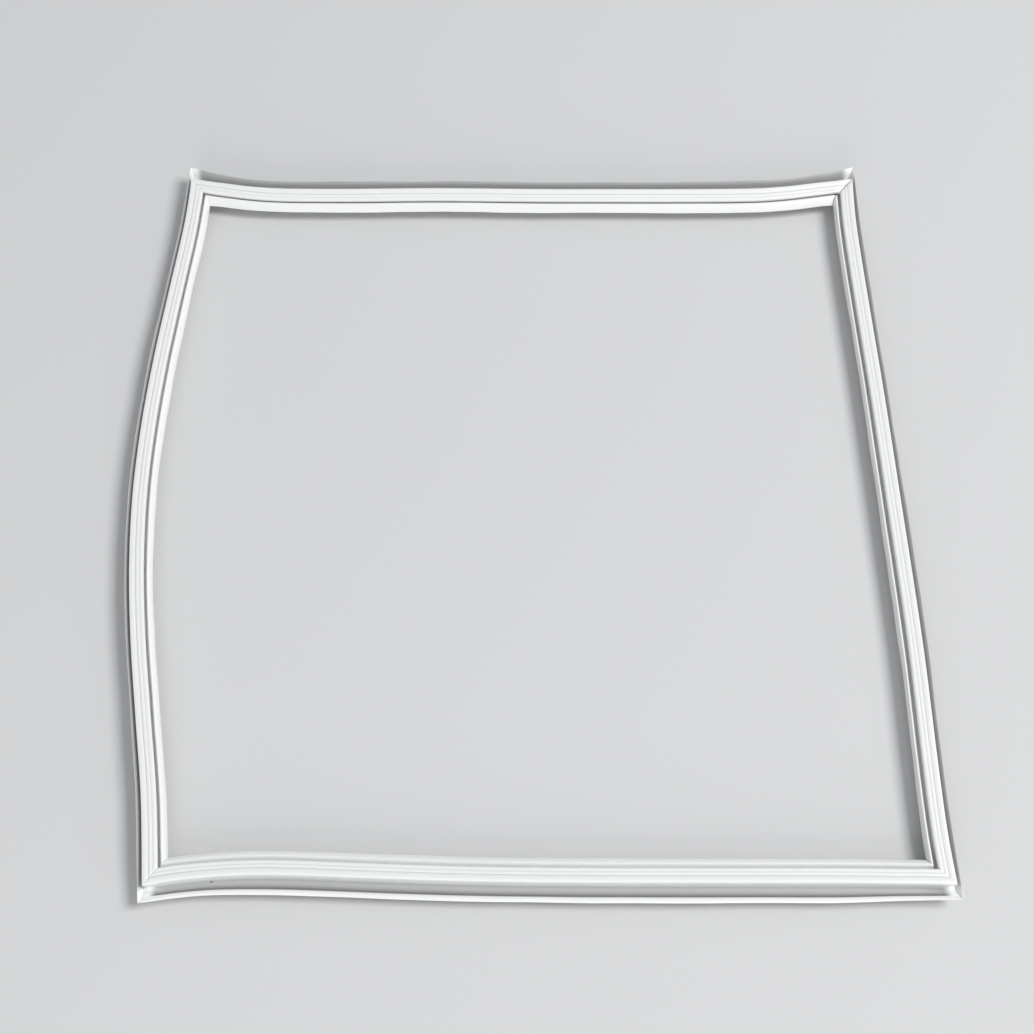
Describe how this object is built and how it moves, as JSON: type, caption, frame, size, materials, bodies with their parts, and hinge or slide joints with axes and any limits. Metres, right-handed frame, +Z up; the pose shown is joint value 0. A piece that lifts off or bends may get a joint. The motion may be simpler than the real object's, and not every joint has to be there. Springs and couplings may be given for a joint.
{
  "type": "refrigerator door gasket",
  "caption": "Rectangular white door seal loop with a soft hollow section, mitred welded corners, a push-in dart underneath and flexible magnet strips inside its sealing face",
  "frame": {"origin": "on the floor under the middle of the whole gasket, which lies on its dart tips", "axes": "+Z up out of the magnetic sealing face, +Y along the two longer sides, +X across"},
  "size_m": [0.6778, 0.706, 0.0226],
  "materials": {
    "white_vinyl": "soft satin white vinyl",
    "magnet_strip": "dark flexible bonded ferrite"
  },
  "bodies": {
    "root": {"gasket_frame": "white_vinyl", "magnet_strip_bottom": "magnet_strip", "magnet_strip_right": "magnet_strip", "magnet_strip_top": "magnet_strip", "magnet_strip_left": "magnet_strip"}
  },
  "joints": []
}
